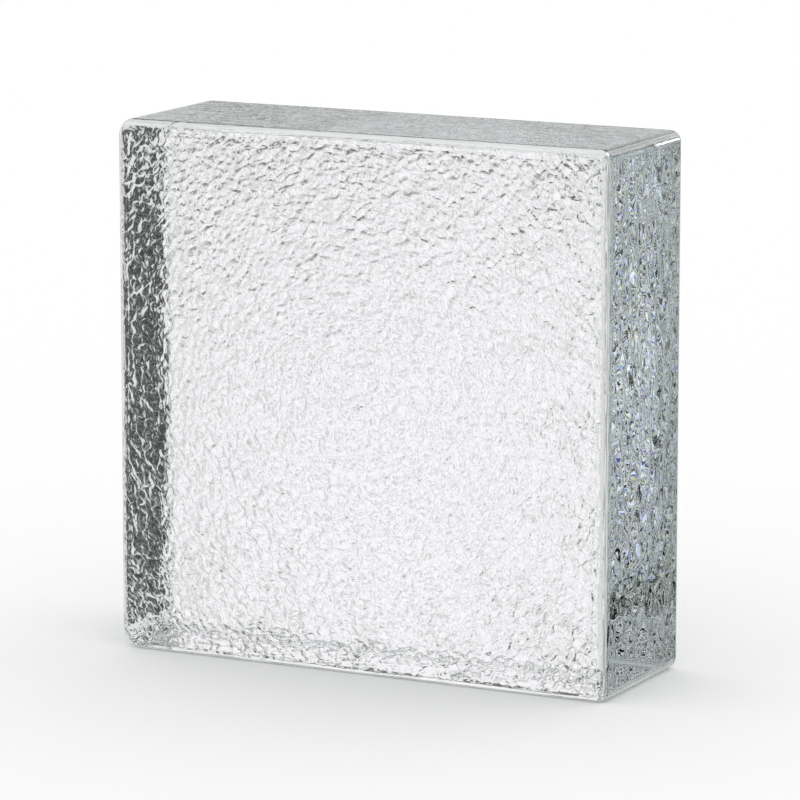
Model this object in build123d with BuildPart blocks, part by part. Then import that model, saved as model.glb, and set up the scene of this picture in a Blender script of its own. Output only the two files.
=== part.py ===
from build123d import *
import os

# Solid glass block for walls, cast as one piece of clear glass and standing on its edge as it is laid.
# The origin is the middle of the bottom face, X runs along the wall, Y through it and Z up.
# The front face looks towards -Y. Sizes are millimetres.

# Overall sizes: a square that fills a 200 mm wall grid with 10 mm mortar joints
block_width = 190.0
block_height = 190.0
block_thickness = 60.0

# The four edges that run through the wall are rounded unevenly, as the casting left them
top_left_radius = 6.0
top_right_radius = 4.0
bottom_left_radius = 8.0
bottom_right_radius = 4.0

# Edges around the two wide faces: soft around the front, nearly sharp around the back
front_edge_radius = 3.0
back_edge_radius = 1.0

# The block is its front outline with rounded corners, carried through the wall on both sides of Y = 0.
# On Plane.XZ the sketch is seen from the front: its X is the block's X and its Y is the block's Z.
with BuildPart() as glass_block:
    with BuildSketch(Plane.XZ):
        with BuildLine():
            FilletPolyline(
                (-block_width / 2, 0),
                (block_width / 2, 0),
                (block_width / 2, block_height),
                (-block_width / 2, block_height),
                radius=[bottom_left_radius, bottom_right_radius, top_right_radius, top_left_radius],
                close=True,
            )
        make_face()
    extrude(amount=block_thickness / 2, both=True)

    front_face, back_face = faces().filter_by(Axis.Y).sort_by(Axis.Y)
    fillet(front_face.edges(), front_edge_radius)
    fillet(back_face.edges(), back_edge_radius)

glass_block.part.label = "glass_block"

os.makedirs("parts", exist_ok=True)
export_step(glass_block.part, "parts/glass_block.step")
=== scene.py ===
import math

import bpy
import numpy as np
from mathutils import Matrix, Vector


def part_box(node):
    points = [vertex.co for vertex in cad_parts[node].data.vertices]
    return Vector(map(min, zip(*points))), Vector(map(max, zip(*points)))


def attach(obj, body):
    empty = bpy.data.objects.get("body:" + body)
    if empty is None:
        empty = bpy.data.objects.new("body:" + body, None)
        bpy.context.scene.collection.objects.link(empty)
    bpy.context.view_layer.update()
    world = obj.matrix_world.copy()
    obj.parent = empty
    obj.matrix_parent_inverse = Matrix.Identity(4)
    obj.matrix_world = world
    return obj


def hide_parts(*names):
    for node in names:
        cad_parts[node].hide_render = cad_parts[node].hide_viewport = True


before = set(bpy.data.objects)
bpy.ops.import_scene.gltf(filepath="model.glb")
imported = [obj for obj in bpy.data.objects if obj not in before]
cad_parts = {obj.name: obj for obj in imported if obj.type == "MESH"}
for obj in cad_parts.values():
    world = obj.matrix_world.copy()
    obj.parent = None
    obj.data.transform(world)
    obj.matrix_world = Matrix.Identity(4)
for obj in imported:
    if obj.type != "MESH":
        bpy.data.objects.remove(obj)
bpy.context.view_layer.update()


# The block is one casting of clear glass, pressed in a square mould and cooled slowly.
# Its front face carries the ripples of the mould, which lie around the middle of the face. The back is all
# but smooth, the narrow sides are flat, and every edge is rounded as the mould left it.
low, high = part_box("glass_block")
block_width, block_thickness, block_height = high - low

# The outline is square, so half of its width is also half of its height. Sizes are metres.
half = block_width / 2
front_radius = 0.003
back_radius = 0.001

# A corner's key says left or right, as -1 or 1, and then bottom or top, as -1 or 1
corner_radii = {(-1, 1): 0.006, (1, 1): 0.004, (-1, -1): 0.008, (1, -1): 0.004}

# Each side of a wide face has this many cells, and the outer ones go round the edge. The rows on the narrow
# sides are closer together near both edges, and their places are measured from the end of the front round.
face_cells = 208
front_edge_cells = 5
back_edge_cells = 3
side_rows = [0.0, 0.0005, 0.002, 0.005, 0.010, 0.017, 0.025, 0.033, 0.041, 0.048, 0.053, 0.0554, 0.056]

bpy.ops.object.select_all(action="DESELECT")
bpy.ops.mesh.primitive_grid_add(
    x_subdivisions=face_cells,
    y_subdivisions=face_cells,
    size=block_width,
    location=(0, low.y, block_height / 2),
    rotation=(math.radians(90), 0, 0),
)
block = bpy.context.object
block.name = block.data.name = "rippled_glass_block"
bpy.ops.object.transform_apply(location=True, rotation=True, scale=True)
bpy.ops.object.mode_set(mode="EDIT")
bpy.ops.mesh.select_all(action="SELECT")
bpy.ops.mesh.extrude_region_move(TRANSFORM_OT_translate={"value": (0, block_thickness, 0)})
bpy.ops.mesh.select_mode(type="EDGE")
bpy.ops.mesh.select_all(action="DESELECT")
bpy.ops.object.mode_set(mode="OBJECT")

# The edges that run from face to face are cut into the rows of the narrow sides
spans = np.array([[block.data.vertices[i].co.y for i in edge.vertices] for edge in block.data.edges])
across_block = np.abs(spans[:, 0] - spans[:, 1]) > block_thickness / 2
block.data.edges.foreach_set("select", across_block)
bpy.ops.object.mode_set(mode="EDIT")
bpy.ops.mesh.subdivide(number_cuts=len(side_rows) - 2)
bpy.ops.mesh.select_all(action="SELECT")
bpy.ops.mesh.normals_make_consistent(inside=False)
bpy.ops.object.mode_set(mode="OBJECT")

points = np.empty(len(block.data.vertices) * 3)
block.data.vertices.foreach_get("co", points)
points = points.reshape(-1, 3)
across = points[:, 0].copy()
up = points[:, 2] - block_height / 2
depth = (points[:, 1] - low.y) / block_thickness
tolerance = 1e-4
on_front = depth < tolerance
on_back = depth > 1 - tolerance
cell = block_width / face_cells


def edge_lines(place, radius, cells):
    """Moves the grid lines so that the outer ones follow the rounded edge and the rest share the flat."""
    inward = half - np.abs(place)
    turned = cells * cell
    bend = radius * (1 - np.cos(np.clip(inward / turned, 0, 1) * math.pi / 2))
    flat = radius + (inward - turned) * (half - radius) / (half - turned)
    return np.sign(place) * (half - np.where(inward < turned, bend, flat))


def edge_fall(inward, radius):
    """How far the rounded edge falls back from the face, this far in from the outline."""
    return radius - np.sqrt(radius**2 - np.clip(radius - inward, 0, None) ** 2)


front_across, front_up = (edge_lines(place, front_radius, front_edge_cells) for place in (across, up))
back_across, back_up = (edge_lines(place, back_radius, back_edge_cells) for place in (across, up))
across = front_across * (1 - depth) + back_across * depth
up = front_up * (1 - depth) + back_up * depth
inward = np.clip(half - np.maximum(np.abs(across), np.abs(up)), 0, None)

row_places = np.interp(depth * (len(side_rows) - 1), range(len(side_rows)), side_rows)
y = low.y + front_radius + row_places
y[on_front] = low.y + edge_fall(inward, front_radius)[on_front]
y[on_back] = high.y - edge_fall(inward, back_radius)[on_back]

# Each corner of the outline is pulled in to its own radius
for (side, top), radius in corner_radii.items():
    out_across = side * across - (half - radius)
    out_up = top * up - (half - radius)
    inside = (out_across > 0) & (out_up > 0)
    reach = np.hypot(out_across, out_up)
    pull = np.where(inside, np.maximum(out_across, out_up) / np.where(inside, reach, 1), 1)
    across = np.where(inside, side * (half - radius + out_across * pull), across)
    up = np.where(inside, top * (half - radius + out_up * pull), up)

# Ripples stand one pitch apart, give or take. Their lengths, breadths and scatter are shares of the pitch,
# and no two ripples have quite the same angle, size or weight.
ripple_length = 0.75
ripple_breadth = 0.6
ripple_scatter = 0.38
ripple_lengths = (0.7, 1.4)
ripple_breadths = (0.75, 1.25)
angle_scatter = 0.6
weight_scatter = 0.3
ripple_reach = 3
sharpness = 2.0
least_total = 1e-6


def mould_ripples(seed, across, up, pitch, height):
    """Height of the mould's ripples: round lumps that lie around the middle, with narrow valleys between."""
    rng = np.random.default_rng(seed)
    lines = np.arange(-half, half + pitch, pitch)
    places = np.stack(np.meshgrid(lines, lines), -1).reshape(-1, 2)
    count = len(places)
    places = places + rng.normal(0, ripple_scatter * pitch, (count, 2))
    around = np.arctan2(places[:, 1], places[:, 0]) + math.pi / 2 + rng.normal(0, angle_scatter, count)
    lengths = ripple_length * pitch * rng.uniform(*ripple_lengths, count)
    breadths = ripple_breadth * pitch * rng.uniform(*ripple_breadths, count)
    weights = np.exp(sharpness * rng.normal(0, weight_scatter, count))
    total = np.full(len(across), least_total)
    order = np.argsort(across)
    sorted_across = across[order]
    for (middle_x, middle_z), angle, long, broad, weight in zip(places, around, lengths, breadths, weights):
        window = ripple_reach * max(long, broad)
        first, last = np.searchsorted(sorted_across, [middle_x - window, middle_x + window])
        chosen = order[first:last]
        chosen = chosen[np.abs(up[chosen] - middle_z) < window]
        off_x, off_z = across[chosen] - middle_x, up[chosen] - middle_z
        lengthways = off_x * math.cos(angle) + off_z * math.sin(angle)
        sideways = -off_x * math.sin(angle) + off_z * math.cos(angle)
        total[chosen] += weight * np.exp(-sharpness * ((lengthways / long) ** 2 + (sideways / broad) ** 2))
    return height * np.log(total) / sharpness


def smooth_rise(value, none_at, full_at):
    """0 where the value is at none_at, 1 where it is at full_at, and smooth between them."""
    share = np.clip((value - none_at) / (full_at - none_at), 0, 1)
    return share * share * (3 - 2 * share)


# The ripples grow from the middle of a face to its corners, and its edges carry none. The face is sunk by
# their height, all but the highest hundredth of them, so that they stay inside the block's size.
middle_growth = 0.6
outer_growth = 0.5
growth_curve = 1.5
corner_distance = 1.2
counted_heights = 99
sunk_from_edge = 0.010
bare_edge = 0.0004
rippled_from_edge = 0.006
deepest = 0.0015

# For each wide face: its points, the seed, the way into the glass, and the ripples' pitch and height
wide_faces = (
    (on_front, 11, 1, 0.0034, 0.00009),
    (on_back, 12, -1, 0.0055, 0.00006),
)

for face, seed, into_glass, pitch, ripple_height in wide_faces:
    heights = mould_ripples(seed, across[face], up[face], pitch, ripple_height)
    off_middle = np.clip(np.hypot(across[face], up[face]) / half, 0, corner_distance)
    growth = middle_growth + outer_growth * off_middle**growth_curve
    sunk = (np.percentile(heights, counted_heights) - heights.mean()) * growth
    ripple = (heights.mean() - heights) * growth
    inset = sunk * smooth_rise(inward[face], 0.0, sunk_from_edge)
    inset += ripple * smooth_rise(inward[face], bare_edge, rippled_from_edge)
    y[face] += into_glass * np.clip(inset, 0, deepest)

points[:, 0] = across
points[:, 1] = y
points[:, 2] = up + block_height / 2
block.data.vertices.foreach_set("co", points.ravel())
block.data.update()
bpy.ops.object.shade_smooth()


class Wire:
    """One output of a node. Arithmetic on it adds Math nodes, and node() adds any other node."""

    def __init__(self, tree, socket=None):
        self.tree = tree
        self.socket = socket

    def node(self, kind, settings, inputs, output=0):
        """Adds a node of this kind, with its settings and the values or wires of its inputs."""
        made = self.tree.nodes.new("ShaderNode" + kind)
        for name, value in settings.items():
            setattr(made, name, value)
        for name, value in inputs.items():
            if isinstance(value, Wire):
                self.tree.links.new(value.socket, made.inputs[name])
            else:
                made.inputs[name].default_value = value
        return Wire(self.tree, made.outputs[output] if made.outputs else None)

    def also(self, output):
        """Another output of the same node."""
        return Wire(self.tree, self.socket.node.outputs[output])

    def math(self, operation, *values):
        """Adds a Math node for an operation that has no sign of its own."""
        return self.node("Math", {"operation": operation}, dict(enumerate(values)))

    def __add__(self, other):
        return self.math("ADD", self, other)

    def __sub__(self, other):
        return self.math("SUBTRACT", self, other)

    def __rsub__(self, other):
        return self.math("SUBTRACT", other, self)

    def __mul__(self, other):
        return self.math("MULTIPLY", self, other)

    __radd__ = __add__
    __rmul__ = __mul__


def rising(value, none_at, full_at):
    """0 where the wire's value is at none_at, 1 where it is at full_at, and smooth between them."""
    ends = {"Value": value, "From Min": none_at, "From Max": full_at, "To Min": 0.0, "To Max": 1.0}
    return value.node("MapRange", {"interpolation_type": "SMOOTHSTEP"}, ends)


def along(vector, axis):
    """One of the three numbers of a vector."""
    return vector.node("SeparateXYZ", {}, {"Vector": vector}, axis)


glass = bpy.data.materials.new("clear cast glass")
glass.use_nodes = True
glass.node_tree.nodes.clear()
glass_nodes = Wire(glass.node_tree)
place = glass_nodes.node("TexCoord", {}, {}, "Object")
spot_x = along(place, "X")
spot_y = along(place, "Y")
spot_z = along(place, "Z") - half
off_axis_x = glass_nodes.math("ABSOLUTE", spot_x)
off_axis_z = glass_nodes.math("ABSOLUTE", spot_z)
to_side = glass_nodes.math("MAXIMUM", off_axis_x, off_axis_z)
from_edge = half - to_side
from_front = spot_y - low.y
from_back = high.y - spot_y

# Where the fine relief lies: lumps on the front face, and faint lines on its rounded rim and on the top and
# bottom of the block. Each range runs between two distances from the edge, the front, the back or the middle.
near_front = rising(from_front, none_at=0.004, full_at=0.002)
on_face = near_front * rising(from_edge, none_at=0.0008, full_at=0.004)
rim_starts = rising(from_edge, none_at=0.0002, full_at=0.0012)
rim_ends = rising(from_edge, none_at=0.0075, full_at=0.004)
on_rim = near_front * rim_starts * rim_ends
on_side = rising(from_front, none_at=0.001, full_at=0.004) * rising(from_back, none_at=0.0, full_at=0.002)
on_top = on_side * rising(off_axis_z, none_at=half - 0.0006, full_at=half - 0.0001)

# The lumps lie across the line from the middle of the face, so the face is cut into sectors, each with a
# pattern turned its own way, and neighbours blend. Scales are in features to the metre.
sectors = 8
sector_angle = 2 * math.pi / sectors
sector_shift = 0.37
wander_scale = 260.0
wander_reach = 0.0018
lump_scale = 450.0
lump_height = 1.15
lump_squeeze = 0.8
pit_scale = 560.0
pit_slope = 0.62
pit_floor = 0.22
pit_depth = 8.0
pit_chances = (0.85, 1.0)
middle_lumps = 0.72
outer_lumps = 0.62
wander = glass_nodes.node("TexNoise", {}, {"Vector": place, "Scale": wander_scale, "Detail": 0.0}, "Color")
wandering = {0: wander, 1: (wander_reach,) * 3, 2: place}
bent = glass_nodes.node("VectorMath", {"operation": "MULTIPLY_ADD"}, wandering)


def lying_around(sector):
    """Small lumps and pits that lie across the line from the middle of the face through this sector."""
    turned = glass_nodes.node(
        "VectorRotate",
        {"rotation_type": "Y_AXIS"},
        {"Vector": bent, "Center": (0, 0, half), "Angle": sector * sector_angle},
    )
    outward = along(turned, "X") + sector * sector_shift
    sideways = along(turned, "Z") * lump_squeeze
    spread = glass_nodes.node("CombineXYZ", {}, {"X": outward, "Y": sideways})
    lumpy = {"Vector": spread, "Scale": lump_scale, "Detail": 0.0}
    lumps = glass_nodes.node("TexNoise", {"noise_dimensions": "2D"}, lumpy, "Fac")
    pitted = {"Vector": spread, "Scale": pit_scale}
    apart = glass_nodes.node("TexVoronoi", {"voronoi_dimensions": "2D"}, pitted)
    chance = glass_nodes.node("SeparateColor", {}, {"Color": apart.also("Color")})
    deep = rising(chance, *pit_chances) * pit_depth
    dip = glass_nodes.math("MAXIMUM", pit_floor - apart * apart, 0.0)
    return lumps * lump_height + apart * apart * pit_slope - dip * dip * deep


turn = glass_nodes.math("ARCTAN2", spot_z, spot_x) * (1 / sector_angle)
nearest = glass_nodes.math("ROUND", turn)
whole_sectors = lying_around(glass_nodes.math("FLOORED_MODULO", nearest, float(sectors)))
half_sectors = lying_around(glass_nodes.math("FLOOR", turn) + 0.5)
aim = glass_nodes.math("COSINE", (turn - nearest) * math.pi)
whole_share = aim * aim
off_centre = (spot_x * spot_x + spot_z * spot_z) * (1 / half**2)
lump_growth = middle_lumps + outer_lumps * off_centre
lumps_and_pits = (whole_sectors * whole_share + half_sectors * (1 - whole_share)) * lump_growth

# The lines on the rim and the top run along the edges, and they slant a little
line_scale = 900.0
line_slant = 0.35
line_stretch = 0.07
rim_line_height = 0.5
top_line_height = 0.2
around_edge = glass_nodes.node(
    "CombineXYZ", {}, {"X": to_side + from_front * line_slant, "Y": (spot_x + spot_z) * line_stretch}
)
drawn = {"Vector": around_edge, "Scale": line_scale, "Detail": 0.0}
draw_lines = glass_nodes.node("TexNoise", {"noise_dimensions": "2D"}, drawn, "Fac")

relief_height = 0.00026
relief = lumps_and_pits * on_face + draw_lines * (on_rim * rim_line_height + on_top * top_line_height)
bumps = glass_nodes.node("Bump", {}, {"Strength": 1.0, "Distance": relief_height, "Height": relief}, "Normal")
clear = glass_nodes.node(
    "BsdfPrincipled",
    {},
    {
        "Base Color": (1, 1, 1, 1),
        "Roughness": 0.0,
        "IOR": 1.517,
        "Transmission Weight": 1.0,
        "Normal": bumps,
    },
)
tint = glass_nodes.node("VolumeAbsorption", {}, {"Color": (0.4, 0.9, 0.82, 1), "Density": 1.0})
glass_nodes.node("OutputMaterial", {}, {"Surface": clear, "Volume": tint})
block.data.materials.append(glass)

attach(block, "root")
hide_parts("glass_block")


# The floor is a wide sheet of plain white board, laid level with the block's bottom face.
# The glass doesn't show it: what is seen through the block is the studio.
floor_size = 6.0
bpy.ops.object.select_all(action="DESELECT")
bpy.ops.mesh.primitive_plane_add(size=floor_size, location=(0, 0, 0))
floor = bpy.context.object
floor.name = "floor"
floor.visible_transmission = False
floor.visible_glossy = False
board = bpy.data.materials.new("white board")
board.use_nodes = True
board.node_tree.nodes.clear()
board_nodes = Wire(board.node_tree)
matt = board_nodes.node("BsdfDiffuse", {}, {"Color": (1, 1, 1, 1)})
board_nodes.node("OutputMaterial", {}, {"Surface": matt})
floor.data.materials.append(board)


# The studio: white backdrops and windows around the block, a dark card to its right and mottled grey walls.
# The camera and the floor see plain white, and glass sees the studio. Bearings are degrees from straight
# behind the block, to the right as its front is seen, and rises are degrees up from level.
studio = bpy.data.worlds.new("studio")
bpy.context.scene.world = studio
studio.use_nodes = True
studio.node_tree.nodes.clear()
studio_nodes = Wire(studio.node_tree)
to_degrees = 180 / math.pi
direction = studio_nodes.node("TexCoord", {}, {}, "Generated")
north = along(direction, "Y")
bearing = studio_nodes.math("ARCTAN2", along(direction, "X"), north) * to_degrees
rise = studio_nodes.math("ARCSINE", along(direction, "Z")) * to_degrees

# What kind of ray looks: one straight from the camera or the floor, one mirrored by the outside of the glass,
# or one that has been a long way round inside it. Each surface on its way is a step.
mirror_steps = 2.5
long_way_steps = 4.5
longest_spread_steps = 5.5
camera_ray = studio_nodes.node("LightPath", {}, {}, "Is Camera Ray")
glossy_ray = camera_ray.also("Is Glossy Ray")
transmission_ray = camera_ray.also("Is Transmission Ray")
steps = camera_ray.also("Ray Depth")
from_glass = studio_nodes.math("MINIMUM", glossy_ray + transmission_ray, 1.0)
plain = camera_ray + (1 - camera_ray) * (1 - from_glass)
mirrored = studio_nodes.math("LESS_THAN", steps, mirror_steps) * (1 - transmission_ray)
long_way = studio_nodes.math("GREATER_THAN", steps, long_way_steps)
spreading = long_way * studio_nodes.math("LESS_THAN", steps, longest_spread_steps)


def brightest(first, *others):
    """The brightest of some lights."""
    for other in others:
        first = studio_nodes.math("MAXIMUM", first, other)
    return first


def glow(seen, middle, half_size):
    """An oval light, 1 in its middle and falling off like a bowl, placed and sized by bearing and rise."""
    aside = studio_nodes.math("WRAP", seen - middle[0], 180.0, -180.0) * (1 / half_size[0])
    above = (rise - middle[1]) * (1 / half_size[1])
    return studio_nodes.math("MAXIMUM", 1 - (aside * aside + above * above), 0.0)


def panel(seen, middle, half_size, soft_edge):
    """An oval light that is 1 inside and 0 outside, with a soft edge of this share of its fall."""
    return rising(glow(seen, middle, half_size), 0.0, soft_edge)


# The walls are mottled. Between their patches run thin lines, which dim the lights and show on the dark card.
# Long ways through the glass, and the studio's front half, see calmer walls. The ground shines below them.
wall_scale = 11.0
line_sharpness = 16.0
mottle = studio_nodes.node("TexNoise", {}, {"Vector": direction, "Scale": wall_scale, "Detail": 0.0}, "Fac")
room = rising(mottle, none_at=0.46, full_at=0.54)
off_line = studio_nodes.math("ABSOLUTE", mottle - 0.5) * line_sharpness
lines = studio_nodes.math("MAXIMUM", 1 - off_line, 0.0)
calm = brightest(long_way, rising(north, none_at=0.1, full_at=-0.3))
patch_light = 0.7 - calm * 0.3
wall_light = 0.1 + calm * 0.22
walls = room * patch_light + wall_light
ground_light = 0.86 - long_way * (0.58 - 0.42 * room)
ground = rising(rise, none_at=-15.0, full_at=-27.0) * ground_light

# Windows all around, as bearing and half width, in one row a little below level
far_windows = {0: 9, -98: 15, 180: 15, 135: 15, 90: 15}
window_row = -9
window_half_height = 20
window_edge = 0.7
windows = (
    panel(bearing, (at, window_row), (half_wide, window_half_height), window_edge)
    for at, half_wide in far_windows.items()
)
far_lights = brightest(ground, *windows)

# The lights that only the outside of the glass mirrors. The narrow lamp is cut off at both ends, so that a
# short stretch of the block's top edge shows it.
lamp_strength = 9.0
soft_box_strength = 2.4
fill_strength = 0.7
lamp_starts = rising(north, none_at=0.9055, full_at=0.9060)
lamp_ends = rising(north, none_at=0.9082, full_at=0.9076)
narrow_lamp = panel(bearing, middle=(23.3, 8.5), half_size=(2.2, 5.5), soft_edge=0.3)
lamp = lamp_starts * lamp_ends * narrow_lamp * lamp_strength
soft_box = panel(bearing, middle=(11, 24), half_size=(19, 15), soft_edge=0.6) * soft_box_strength
round_lamp = panel(bearing, middle=(48, 55), half_size=(40, 22), soft_edge=0.3) * lamp_strength
fill = panel(bearing, middle=(-14, 21), half_size=(11, 9), soft_edge=0.6) * fill_strength
first_shine = mirrored * brightest(soft_box, lamp, round_lamp, fill)

# Long ways through the glass spread the colours, and show dark and bright patches in the view to the left
patch_scale = 8.0
patch_shade = 0.85
patch_glint = 0.45
bearing_spread = 0.3
near_view = spreading * panel(bearing, middle=(-55, -16), half_size=(50, 22), soft_edge=0.5)

# Two white backdrops hang behind the block to the left, one above the other, and a dark card to its right
backdrop_bearing = -25.4
backdrop_rise = 12.2
backdrop_half_size = (12, 12)
backdrop_strength = 1.11 + long_way * 0.8
high_backdrop_loss = mirrored * 0.12
card_darkness = 0.96
card_lines = 0.28
light_lines = 0.3


def studio_seen(spread):
    """Brightness of the studio, read to one side by this spread where the way through the glass is long."""
    seen = bearing + spreading * (spread * bearing_spread)
    aside = studio_nodes.node("CombineXYZ", {}, {"X": spreading * math.radians(spread)})
    read = studio_nodes.node("VectorMath", {"operation": "ADD"}, {0: direction, 1: aside})
    patches = studio_nodes.node("TexNoise", {}, {"Vector": read, "Scale": patch_scale, "Detail": 0.0}, "Fac")
    shade = near_view * rising(patches, none_at=0.655, full_at=0.675)
    glint = near_view * rising(patches, none_at=0.345, full_at=0.325)
    low_backdrop, high_backdrop = (
        studio_nodes.math(
            "MINIMUM", glow(seen, (backdrop_bearing, at), backdrop_half_size) * backdrop_strength, 1.0
        )
        for at in (-backdrop_rise, backdrop_rise)
    )
    backdrop = brightest(low_backdrop, high_backdrop * (1 - high_backdrop_loss))
    lined = brightest(backdrop, far_lights) * (1 - lines * light_lines)
    side_window = panel(seen, middle=(-57, -6), half_size=(29, 26), soft_edge=0.6) * (0.4 + 0.22 * room)
    near_window = panel(seen, middle=(-39, -11), half_size=(10, 12), soft_edge=0.9) * 0.72
    left_window = panel(seen, middle=(-150, 9), half_size=(26, 24), soft_edge=0.6) * (0.3 + 0.3 * room)
    right_wall = panel(seen, middle=(33, -10.4), half_size=(21, 30), soft_edge=0.5) * 0.75
    lit = brightest(lined, side_window, near_window, left_window, right_wall, walls)
    card = panel(seen, middle=(27, -10.4), half_size=(10.5, 11), soft_edge=0.85) * (1 - long_way * 0.7)
    shine = lit * (1 - card_darkness * card) + lines * card * card_lines
    return shine * (1 - shade * patch_shade) + glint * patch_glint, backdrop


# Each colour's spread to the side, in degrees, and how much more of it the backdrop has than grey
colours = {"Red": (-2.8, 0.028), "Green": (-1.8, -0.02), "Blue": (4.4, 0.01)}
channels = {}
for name, (spread, tone) in colours.items():
    shine, backdrop = studio_seen(spread)
    channels[name] = (shine + first_shine) * (1 + backdrop * (1 - mirrored) * tone)
level = studio_nodes.node("CombineColor", {}, channels)
studio_light = studio_nodes.node("Background", {}, {"Color": level, "Strength": 1.0})
white_light = studio_nodes.node("Background", {}, {"Color": (1, 1, 1, 1), "Strength": 1.0})
light = studio_nodes.node("MixShader", {}, {"Fac": plain, 1: studio_light, 2: white_light})
studio_nodes.node("OutputWorld", {}, {"Surface": light})


# The camera stands to the right of the block's front and a little above it, on a long lens.
# It looks at the middle of the block, and a small shift frames the block as the photo does.
azimuth = math.radians(26.924)
elevation = math.radians(10.437)
distance = 1.7742
camera = bpy.data.objects.new("camera", bpy.data.cameras.new("camera"))
camera.data.sensor_width = 36
camera.data.lens = 227.8
camera.data.shift_x = 0.00446
camera.data.shift_y = -0.00837
back = Vector(
    (
        math.sin(azimuth) * math.cos(elevation),
        -math.cos(azimuth) * math.cos(elevation),
        math.sin(elevation),
    )
)
camera.location = Vector((0, 0, block_height / 2)) + distance * back
camera.rotation_euler = back.to_track_quat("Z", "Y").to_euler()
bpy.context.scene.collection.objects.link(camera)
bpy.context.scene.camera = camera

# Light goes many ways round inside the glass, and is given up after this many mirrorings
longest_way = 40
inner_mirrorings = 5
bpy.context.scene.view_settings.view_transform = "Standard"
bpy.context.scene.cycles.max_bounces = longest_way
bpy.context.scene.cycles.transmission_bounces = longest_way
bpy.context.scene.cycles.glossy_bounces = inner_mirrorings
